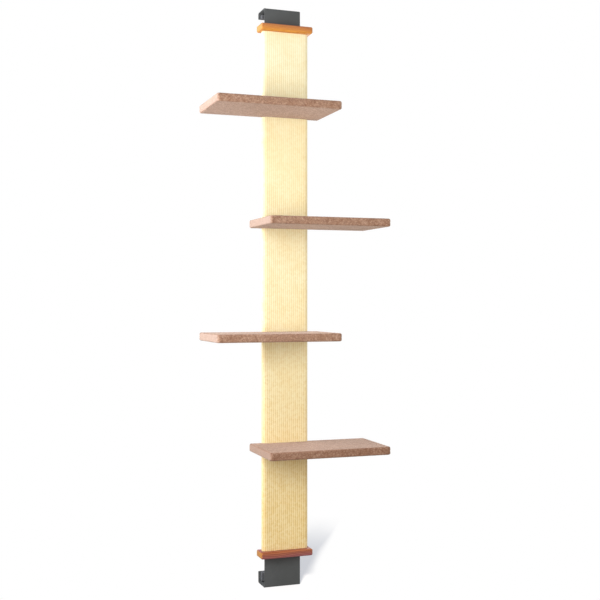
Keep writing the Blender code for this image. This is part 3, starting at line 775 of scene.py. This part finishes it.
def lathe(mesh, levels, place, towards, sides=48, closed=False):
    """Skins levels of (radius, depth) round an axis. A radius may be a function of the angle."""
    turn = Vector(towards).to_track_quat("Z", "Y")
    rings = []
    for radius, depth in levels:
        ring = []
        for k in range(sides):
            angle = 2 * math.pi * k / sides
            reach = radius(angle) if callable(radius) else radius
            local = Vector((reach * math.cos(angle), reach * math.sin(angle), depth))
            ring.append(Vector(place) + turn @ local)
        rings.append(ring)
    skin(mesh, rings, closed)

# %% Drilling and breaking edges
SHARP = math.radians(35)


def machined(mesh, drills, broken_edge):
    """Drills a solid with other solids, breaks its sharp edges by this much, and returns the mesh."""
    helpers = []
    for part in (mesh, *drills):
        data = bpy.data.meshes.new("helper")
        part.to_mesh(data)
        part.free()
        helpers.append(add_object("helper", data))
    for drill in helpers[1:]:
        hole = helpers[0].modifiers.new("hole", "BOOLEAN")
        hole.operation = "DIFFERENCE"
        hole.solver = "EXACT"
        hole.object = drill
    edge = helpers[0].modifiers.new("edge", "BEVEL")
    edge.width = broken_edge
    edge.segments = 2
    edge.limit_method = "ANGLE"
    edge.angle_limit = SHARP
    graph = bpy.context.evaluated_depsgraph_get()
    finished = bpy.data.meshes.new_from_object(helpers[0].evaluated_get(graph))
    for helper in helpers:
        bpy.data.objects.remove(helper, do_unlink=True)
    return finished

# %% [markdown]
# ## The bars
#
# A bar is a length of pine with its front corners sawn round and its long edges run over a router, so light
# rolls over it. Three screws go through it into the board's end grain. Their heads sit in countersunk holes
# in the face that looks away from the panel. Each end of the panel has a name, the side of its bar that
# looks away from the panel, 1 for up and -1 for down, the pine of its bar and the number of its board.

# %% Where the bar's screws go
BAR_SCREW = (4.8 * MM, 2.5 * MM, 26.0 * MM)
BAR_SCREW_SPREAD = 55.0 * MM
BOARD_GAP = 0.3 * MM
HALF_BOARD = 6.0 * MM
CONE_DEPTH = 2.3 * MM
ends = {"top": (1, stained_pine, 1), "bottom": (-1, shaded_stained_pine, 5)}


def bar_screw_places(end):
    """The middle of each screw's head, on the bar's outer face over the board's middle plane."""
    side, _, board_number = ends[end]
    bar_low, bar_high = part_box(f"{end}_bar")
    sisal_low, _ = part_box(f"sisal_cover_{board_number}")
    level = bar_high.z if side > 0 else bar_low.z
    depth = sisal_low.y + MAT_THICKNESS + BOARD_GAP + HALF_BOARD
    return [Vector((x, depth, level)) for x in (-BAR_SCREW_SPREAD, 0.0, BAR_SCREW_SPREAD)]


def countersink(drill, place, towards, screw, slack, sunk, depth):
    """Bores a hole for a screw of this head and shank, with its head sunk and some slack all round."""
    head, shank, _ = screw
    lathe(drill, [(head + 1.3 * MM, -MM), (head + slack, sunk), (shank + slack, CONE_DEPTH),
                  (shank + slack, depth)], place, towards)

# %% Shape the bars
BAR_CORNER = 6.0 * MM
BAR_ROUND = 5.0 * MM

for end, (side, pine, _) in ends.items():
    low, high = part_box(f"{end}_bar")
    mesh = bmesh.new()
    pull(mesh, rectangle(low.x, high.x, low.y, high.y, BAR_CORNER, steps=12), "z", low.z, high.z)
    level_edges = [e for e in mesh.edges if abs(e.verts[0].co.z - e.verts[1].co.z) < TINY]
    long_edges = [e for e in level_edges if min(v.co.y for v in e.verts) < high.y - TINY]
    bmesh.ops.bevel(mesh, geom=long_edges, offset=BAR_ROUND, segments=8, profile=0.5, affect="EDGES")
    drill = bmesh.new()
    for place in bar_screw_places(end):
        countersink(drill, place, (0, 0, -side), BAR_SCREW, 0.3 * MM, 0.0, 30 * MM)
    add_piece(f"{end}_wooden_bar", machined(mesh, [drill], 0.25 * MM), pine, [f"{end}_bar"])

# %% [markdown]
# ## Screws, bolts and nuts
#
# All of them are turned shapes, so all are skinned from rings. A recess or a hexagon is only a ring whose
# radius depends on the angle: a polygon's is half its width over a cosine, and a cross's is the nearer of
# its arm's end and its arm's side. A thread is a radius that also depends on the height, one turn later for
# each pitch.

# %% Radii that follow an angle
def polygon(across_flats, corners=6):
    """The radius of a regular polygon of this width."""
    wedge = 2 * math.pi / corners
    return lambda angle: across_flats / 2 / math.cos(angle % wedge - wedge / 2)


def cross(length, width):
    """The radius of a cross whose arms have this length from the middle and this width."""
    def radius(angle):
        near, far = sorted((abs(math.cos(angle)), abs(math.sin(angle))))
        return min(length / far, width / 2 / max(near, TINY))
    return radius


def thread(outer, pitch, depth, height):
    """The radius of a thread at this height."""
    def radius(angle):
        turn = (height / pitch - angle / (2 * math.pi)) % 1
        return outer - depth * abs(2 * turn - 1)
    return radius


def cross_head_screw(mesh, place, towards, screw):
    """A countersunk screw with a cross recess. Its head is flush at place, and it points towards the work."""
    head, shank, length = screw
    recess = cross(head * 0.62, head * 0.26)
    lathe(mesh, [(cross(head * 0.3, head * 0.14), head * 0.42), (recess, 0.0), (head - 0.15 * MM, 0.0),
                 (head, 0.2 * MM), (shank, head - shank + 0.2 * MM), (shank, length - 2 * shank),
                 (shank * 0.1, length)], place, towards, sides=72)

# %% Bar screws and the end boards
for end, (side, _, board_number) in ends.items():
    mesh = bmesh.new()
    for place in bar_screw_places(end):
        cross_head_screw(mesh, place, (0, 0, -side), BAR_SCREW)
    add_piece(f"{end}_bar_screws", mesh, zinc)

    low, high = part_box(f"sisal_cover_{board_number}")
    lining = MAT_THICKNESS + BOARD_GAP
    outline = rectangle(low.x + lining, high.x - lining, low.y + lining, high.y - lining,
                        FRONT_BEND[1] - lining)
    mesh = bmesh.new()
    pull(mesh, outline, "z", low.z, high.z)
    add_piece(f"{end}_board", machined(mesh, [], 0.4 * MM), panel_plywood, [f"board_{board_number}"])

# %% [markdown]
# ## The cleats behind the panel
#
# A shelf hangs on a cleat, a block of bare pine behind the joint between two boards. Two furniture bolts go
# through it into cross dowels in the shelf, with their heads in counterbores so that they can't scratch the
# door, and four countersunk screws tie it to the boards above and below.

# %% Holes and screws of a shelf's cleat
BOLT_HEAD_RADIUS = 7.0 * MM
BOLT_SHANK = 3.0 * MM
BOLT_SLACK = 0.3 * MM
COUNTERBORE = 4.3 * MM
SCREW_SPREAD = 40.0 * MM
CLEAT_SCREW = (4.0 * MM, 2.0 * MM, 30.0 * MM)
THROUGH = 40.0 * MM


def fasten_cleat(number, middle, back):
    """Adds the four screws of a shelf's cleat, and returns the drill for them and for its two bolts."""
    drill = bmesh.new()
    screws = bmesh.new()
    for side in ("left", "right"):
        low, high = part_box(f"shelf_bolt_{number}_{side}")
        x = (low.x + high.x) / 2
        lathe(drill, [(BOLT_HEAD_RADIUS + BOLT_SLACK, -0.01), (BOLT_HEAD_RADIUS + BOLT_SLACK, COUNTERBORE),
                      (BOLT_SHANK + BOLT_SLACK, COUNTERBORE), (BOLT_SHANK + BOLT_SLACK, THROUGH)],
              (x, back, middle), (0, -1, 0))
        for level in (middle - SCREW_SPREAD, middle + SCREW_SPREAD):
            countersink(drill, (x, back, level), (0, -1, 0), CLEAT_SCREW, 0.2 * MM, 0.1 * MM, THROUGH)
            cross_head_screw(screws, (x, back - 0.1 * MM, level), (0, -1, 0), CLEAT_SCREW)
    add_piece(f"cleat_screws_{number}", screws, zinc)
    return drill

# %% Saw the cleats
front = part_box("shelf_core_1")[1].y + BOARD_GAP
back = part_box("top_bar")[1].y
for name in ["top_cleat", "bottom_cleat"] + [f"shelf_cleat_{number}" for number in SHELF_NUMBERS]:
    low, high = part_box(name)
    mesh = bmesh.new()
    pull(mesh, rectangle(low.x, high.x, front, back), "z", low.z, high.z)
    drills = [fasten_cleat(int(name[-1]), (low.z + high.z) / 2, back)] if "shelf" in name else []
    add_piece(f"wooden_{name}", machined(mesh, drills, 1.0 * MM), bare_pine, [name])

# %% Shelf bolts
SOCKET_FLAT = 4.0 * MM
SOCKET_DEPTH = 2.2 * MM
BOLT_HEAD_HEIGHT = 2.8 * MM

for number in SHELF_NUMBERS:
    for side in ("left", "right"):
        low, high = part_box(f"shelf_bolt_{number}_{side}")
        middle = (low + high) / 2
        length = high.y - low.y
        mesh = bmesh.new()
        socket = polygon(SOCKET_FLAT)
        lathe(mesh, [(socket, SOCKET_DEPTH), (socket, 0.3 * MM), (polygon(SOCKET_FLAT + 0.6 * MM), 0.0),
                     (BOLT_HEAD_RADIUS - 0.8 * MM, 0.0), (BOLT_HEAD_RADIUS - 0.2 * MM, 0.3 * MM),
                     (BOLT_HEAD_RADIUS, 0.9 * MM), (BOLT_HEAD_RADIUS, BOLT_HEAD_HEIGHT - 0.2 * MM),
                     (BOLT_HEAD_RADIUS - 0.2 * MM, BOLT_HEAD_HEIGHT), (BOLT_SHANK, BOLT_HEAD_HEIGHT),
                     (BOLT_SHANK, length - MM), (BOLT_SHANK - MM, length)],
              (middle.x, high.y, middle.z), (0, -1, 0))
        add_piece(f"socket_bolt_{number}_{side}", mesh, zinc, [f"shelf_bolt_{number}_{side}"])

# %% [markdown]
# ## The hooks
#
# Each hook is one strip of 2.5 mm steel, folded twice on a press brake. A fold can't be sharper than about
# one and a half times the sheet, or the outside cracks, so it has an inner radius of 4 mm. Its outline
# follows the strip's middle line, offset by half the sheet on both sides. The upper hook has two round
# holes, and the lower one two slots, so it slides up until it grips the door.

# %% The outline of a folded strip
STEEL = 2.5 * MM
FOLD_RADIUS = 4.0 * MM
FOLD_STEPS = 10


def folded_outline(path):
    """The outline of a strip whose middle line runs through the square corners of this path."""
    points = [Vector(p) for p in path]
    reach = FOLD_RADIUS + STEEL / 2
    left = []
    right = []

    def add(point, normal):
        left.append(point + normal * STEEL / 2)
        right.append(point - normal * STEEL / 2)

    for index, point in enumerate(points):
        arrive = (point - points[index - 1]).normalized() if index else None
        leave = (points[index + 1] - point).normalized() if index < len(points) - 1 else None
        if arrive is None or leave is None:
            along = leave or arrive
            add(point, Vector((-along.y, along.x)))
            continue
        side = 1 if arrive.cross(leave) > 0 else -1
        centre = point + (leave - arrive) * reach
        for k in range(FOLD_STEPS + 1):
            angle = math.pi / 2 * k / FOLD_STEPS
            out = -leave * math.cos(angle) + arrive * math.sin(angle)
            add(centre + out * reach, -out * side)
    return left + right[::-1]

# %% Fold the hooks
TOP_FLANGE = 20.0 * MM
BOTTOM_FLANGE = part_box("bottom_rear_pad")[1].z + 1.5 * MM
PLATE_CORNER = 2.0 * MM
CLEAR_HOLE = 3.3 * MM
SLOT_WIDTH = 3.6 * MM
SLIDE_TRAVEL = 60.0 * MM


def drill_places(end):
    """The middle of each of this hook's two bolts, as x and z."""
    boxes = [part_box(f"{end}_bracket_bolt_{side}") for side in ("left", "right")]
    return [((low.x + high.x) / 2, (low.z + high.z) / 2) for low, high in boxes]


for end, (side, _, _) in ends.items():
    low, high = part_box(f"{end}_bracket")
    leg = low.y + STEEL / 2
    flange = high.y - STEEL / 2
    seat = high.z - STEEL / 2 if side > 0 else low.z + STEEL / 2
    free_ends = (low.z, -TOP_FLANGE) if side > 0 else (high.z, BOTTOM_FLANGE)
    mesh = bmesh.new()
    pull(mesh, folded_outline([(leg, free_ends[0]), (leg, seat), (flange, seat), (flange, free_ends[1])]),
         "x", low.x, high.x)
    corner_edges = [e for e in mesh.edges
                    if abs(e.verts[0].co.x - e.verts[1].co.x) < TINY
                    and any(all(abs(v.co.z - z) < TINY for v in e.verts) for z in free_ends)]
    bmesh.ops.bevel(mesh, geom=corner_edges, offset=PLATE_CORNER, segments=5, profile=0.5, affect="EDGES")
    drill = bmesh.new()
    for x, z in drill_places(end):
        if side > 0:
            lathe(drill, [(CLEAR_HOLE, -0.01), (CLEAR_HOLE, 0.02)], (x, leg, z), (0, -1, 0), sides=40)
        else:
            slot = rectangle(x - SLOT_WIDTH, x + SLOT_WIDTH, z - SLOT_WIDTH, z + SLIDE_TRAVEL + SLOT_WIDTH,
                             SLOT_WIDTH, SLOT_WIDTH)
            pull(drill, slot, "y", leg - 0.01, leg + 0.01)
    add_piece(f"{end}_folded_hook", machined(mesh, [drill], 0.3 * MM), powder_coat, [f"{end}_bracket"],
              CLIMBER if side > 0 else LOWER_HOOK, smooth_angle=30.0)

# %% Bolts of the hooks
THREAD_LENGTH = 9.0 * MM
THREAD_PITCH = 1.0 * MM
THREAD_DEPTH = 0.55 * MM
THREAD_STEPS = 8
LEAD_IN = 0.8 * MM

for end in ends:
    for side in ("left", "right"):
        low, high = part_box(f"{end}_bracket_bolt_{side}")
        middle = (low + high) / 2
        length = high.y - low.y
        plain = length - THREAD_LENGTH
        levels = [(BOLT_HEAD_RADIUS - 0.3 * MM, 0.0), (BOLT_HEAD_RADIUS, 0.4 * MM),
                  (BOLT_HEAD_RADIUS, BOLT_HEAD_HEIGHT), (BOLT_SHANK, BOLT_HEAD_HEIGHT), (BOLT_SHANK, plain)]
        count = round((length - plain) / (THREAD_PITCH / THREAD_STEPS))
        for k in range(1, count + 1):
            height = plain + (length - plain) * k / count
            ease = min(1.0, (length - height) / LEAD_IN + 0.05)
            outer = BOLT_SHANK - (1 - ease) * 0.6 * MM
            levels.append((thread(outer, THREAD_PITCH, THREAD_DEPTH, height), height))
        mesh = bmesh.new()
        lathe(mesh, levels, (middle.x, low.y, middle.z), (0, 1, 0))
        add_piece(f"{end}_threaded_bolt_{side}", mesh, zinc, [f"{end}_bracket_bolt_{side}"],
                  smooth_angle=50.0)

# %% Flange nuts of the hooks
NUT_FLAT = 10.0 * MM
NUT_HEIGHT = 4.8 * MM
NUT_FLANGE_RADIUS = 7.5 * MM
NUT_BORE = BOLT_SHANK + 0.1 * MM
NUT_CHAMFER_RADIUS = NUT_FLAT / 2 + 0.35 * MM
hexagon = polygon(NUT_FLAT)

for end in ends:
    for side in ("left", "right"):
        low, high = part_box(f"{end}_bracket_nut_{side}")
        mesh = bmesh.new()
        lathe(mesh, [(NUT_BORE + 0.5 * MM, 0.0), (NUT_FLANGE_RADIUS, 0.0), (NUT_FLANGE_RADIUS, 0.8 * MM),
                     (NUT_FLAT / 2 + 0.9 * MM, 1.4 * MM), (hexagon, 1.5 * MM),
                     (hexagon, NUT_HEIGHT - 0.7 * MM),
                     (lambda angle: min(hexagon(angle), NUT_CHAMFER_RADIUS), NUT_HEIGHT),
                     (NUT_BORE + 0.5 * MM, NUT_HEIGHT), (NUT_BORE, NUT_HEIGHT - 0.5 * MM),
                     (NUT_BORE, 0.5 * MM)],
              ((low.x + high.x) / 2, low.y, (low.z + high.z) / 2), (0, 1, 0), closed=True)
        add_piece(f"{end}_flange_nut_{side}", mesh, zinc, [f"{end}_bracket_nut_{side}"], smooth_angle=30.0)

# %% [markdown]
# ## Staples
#
# The mat's returns are held by a row of staples down each side of the board. A staple is a flat wire with a
# 10 mm crown, driven until the crown sinks between the cords. They were shot by hand, so their spacing and
# slant vary a little, from a seeded random generator that gives the same rows each time.

# %% Staple the covers
HALF_CROWN = 5.0 * MM
STAPLE_LEG = 4.0 * MM
STAPLE_WIRE = 0.6 * MM
STAPLE_WIDTH = 1.1 * MM
STAPLE_PITCH = 42.0 * MM
STAPLE_MARGIN = 15.0 * MM
STAPLE_INSET = 6.5 * MM

inner_crown = HALF_CROWN - STAPLE_WIRE
staple = rounded([(-HALF_CROWN, -STAPLE_LEG, 0), (-HALF_CROWN, STAPLE_WIRE, STAPLE_WIRE),
                  (HALF_CROWN, STAPLE_WIRE, STAPLE_WIRE), (HALF_CROWN, -STAPLE_LEG, 0),
                  (inner_crown, -STAPLE_LEG, 0), (inner_crown, 0, 0),
                  (-inner_crown, 0, 0), (-inner_crown, -STAPLE_LEG, 0)], steps=3)
for number in SECTION_NUMBERS:
    low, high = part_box(f"sisal_cover_{number}")
    shots = random.Random(number)
    mesh = bmesh.new()
    stretch = high.z - low.z - 2 * STAPLE_MARGIN
    count = round(stretch / STAPLE_PITCH)
    for side in (-1, 1):
        for k in range(count + 1):
            level = low.z + STAPLE_MARGIN + stretch * k / count + shots.uniform(-3, 3) * MM
            x = side * (RETURN_EDGE + STAPLE_INSET + shots.uniform(-1, 1) * MM)
            slant = Matrix.Rotation(math.radians(shots.uniform(-12, 12)), 4, "Y")
            turn = Matrix.Translation((x, high.y - 0.3 * MM, level)) @ slant
            skin(mesh, [[turn @ Vector((width, p.y, p.x)) for p in staple]
                        for width in (-STAPLE_WIDTH / 2, STAPLE_WIDTH / 2)])
    add_piece(f"staples_{number}", mesh, zinc)

# %% [markdown]
# ## Finishes for the other pieces
#
# The middle boards, the shelf cores and the cross dowels have the right shape already, so they keep it and
# only get their material.

# %% Finish the carried-over pieces
finishes = {"board": panel_plywood, "shelf_core": shelf_plywood, "barrel_nut": zinc}
carried = {name: node for name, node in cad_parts.items() if not node.hide_render}
for name, node in carried.items():
    if not node.material_slots:
        node.data.materials.append(None)
    node.material_slots[0].link = "OBJECT"
    start = next(start for start in finishes if name.startswith(start))
    node.material_slots[0].material = finishes[start]
print("carried over:", sorted(carried))

# %% [markdown]
# ## Light and background
#
# The picture is lit like a product on white paper. A soft box stands at the front left, a larger one to the
# left makes the shelves' ends glow, weaker ones at the right and behind soften the dark sides, and a pale
# world fills in. The strength of each box comes from how bright a white card would be where its light is
# wanted, so the colours stay as they are written. The boxes leave the paper dark. It glows by itself, and a
# lamp that lights the paper alone draws the shadow on it. As in a catalogue, only the panel's own shadow at
# the foot is kept, and the paper fades to plain white around it. The white shows to the camera and in
# mirrors alone.

# %% What shows the white
def white_shows(add):
    """1 for the camera and for mirrored and refracted rays, and 0 for light that bounces."""
    rays = add("LightPath").outputs
    seen = add("Math", {0: rays["Is Camera Ray"], 1: rays["Is Glossy Ray"]}, operation="MAXIMUM")
    return add("Math", {0: seen, 1: rays["Is Transmission Ray"]}, operation="MAXIMUM")

# %% Paper floor
FLOOR_DROP = 0.5 * MM
FLOOR_GLOW = 0.51
SHADOW_REACH = (0.30, 1.20)
SHADOW_SIDE = (0.06, 0.115)
LIGHT_HEADING = Vector((0.464, 0.886, 0.0))

floor_mesh = bmesh.new()
bmesh.ops.create_grid(floor_mesh, x_segments=1, y_segments=1, size=60.0)
floor_data = bpy.data.meshes.new("floor")
floor_mesh.to_mesh(floor_data)
floor_mesh.free()
floor = add_object("floor", floor_data)
floor.location.z = cad_box[0].z - FLOOR_DROP

paper = bpy.data.materials.new("white_paper")
paper.use_nodes = True
paper.node_tree.nodes.clear()
add = partial(add_node, paper.node_tree)
place = add("TexCoord").outputs["Object"]
distance = add("VectorMath", {0: place}, operation="LENGTH")
far = add("MapRange", {"Value": distance, "From Min": SHADOW_REACH[0], "From Max": SHADOW_REACH[1]},
          interpolation_type="SMOOTHSTEP")
across = add("VectorMath", {0: place, 1: (LIGHT_HEADING.y, -LIGHT_HEADING.x, 0.0)}, operation="DOT_PRODUCT")
aside = add("Math", {0: across}, operation="ABSOLUTE")
beside = add("MapRange", {"Value": aside, "From Min": SHADOW_SIDE[0], "From Max": SHADOW_SIDE[1]},
             interpolation_type="SMOOTHSTEP")
away = add("Math", {0: far, 1: beside}, operation="MAXIMUM")
plain = add("BsdfDiffuse", {"Color": linear("#9f9fa1")})
shade = add("BsdfDiffuse", {"Color": linear("#bcbcbc")})
glow = add("Emission", {"Color": linear("#f1f6ff"), "Strength": FLOOR_GLOW})
near = add("AddShader", {0: shade, 1: glow})
white = add("Emission", {"Color": (1, 1, 1, 1), "Strength": 1.0})
seen = add("MixShader", {0: away, 1: near, 2: white})
either = add("MixShader", {0: white_shows(add), 1: plain, 2: seen})
add("OutputMaterial", {"Surface": either})
floor_data.materials.append(paper)

# %% World
WORLD_STRENGTH = 0.34

world = bpy.data.worlds.new("studio")
world.use_nodes = True
bpy.context.scene.world = world
world.node_tree.nodes.clear()
add = partial(add_node, world.node_tree)
ambient = add("Background", {"Color": linear("#fbfaff"), "Strength": WORLD_STRENGTH})
white = add("Background", {"Color": (1, 1, 1, 1), "Strength": 1.0})
sky = add("MixShader", {0: white_shows(add), 1: ambient, 2: white})
add("OutputWorld", {"Surface": sky})
print("world strength:", WORLD_STRENGTH)

# %% Two kinds of lamp
def add_lamp(name, kind, place, target, **settings):
    """A lamp of this kind at place that looks at target."""
    lamp = bpy.data.lights.new(name, kind)
    for key, value in settings.items():
        setattr(lamp, key, value)
    made = add_object(name, lamp)
    made.location = place
    made.rotation_euler = (Vector(target) - Vector(place)).to_track_quat("-Z", "Y").to_euler()
    return made


def add_soft_box(name, place, target, size, level, hex_colour="#ffffff"):
    """A square lamp that lights a white card at the target, turned to the lamp, to this level."""
    reach = (Vector(target) - Vector(place)).length
    energy = level * math.pi ** 2 * reach ** 2
    print(name, round(energy), "W at", round(reach, 2), "m")
    return add_lamp(name, "AREA", place, target, shape="SQUARE", size=size, energy=energy,
                    color=linear(hex_colour)[:3])

# %% Lamps
SHADOW_SUN = 1.8 * math.pi

boxes = [
    add_soft_box("front_box", (-1.2, -2.25, -0.82), (0.0, 0.0, -0.80), 1.3, 0.51),
    add_soft_box("side_box", (-1.7, -0.2, -0.40), (0.0, -0.15, -0.60), 1.9, 2.1, "#f2f4ff"),
    add_soft_box("right_box", (2.0, -1.3, -0.60), (0.0, 0.0, -0.60), 1.6, 0.34),
    add_soft_box("back_box", (1.5, 1.9, -0.70), (0.0, 0.0, -0.95), 1.6, 0.60),
]
shadow_lamp = add_lamp("shadow_lamp", "SUN", Vector((0, 0, 0.60)) - LIGHT_HEADING, (0, 0, 0),
                       energy=SHADOW_SUN, angle=math.radians(7), color=linear("#fff4e8")[:3])

for state, lamps in (("EXCLUDE", boxes), ("INCLUDE", [shadow_lamp])):
    paper_group = bpy.data.collections.new(f"paper_{state.lower()}d")
    paper_group.objects.link(floor)
    paper_group.collection_objects[0].light_linking.link_state = state
    for lamp in lamps:
        lamp.light_linking.receiver_collection = paper_group
    print([lamp.name for lamp in lamps], "and the paper:", state.lower())

# %% [markdown]
# ## Finish
#
# The view transform is Standard, so a colour renders as it is written.

# %% Finish
bpy.context.scene.view_settings.view_transform = "Standard"
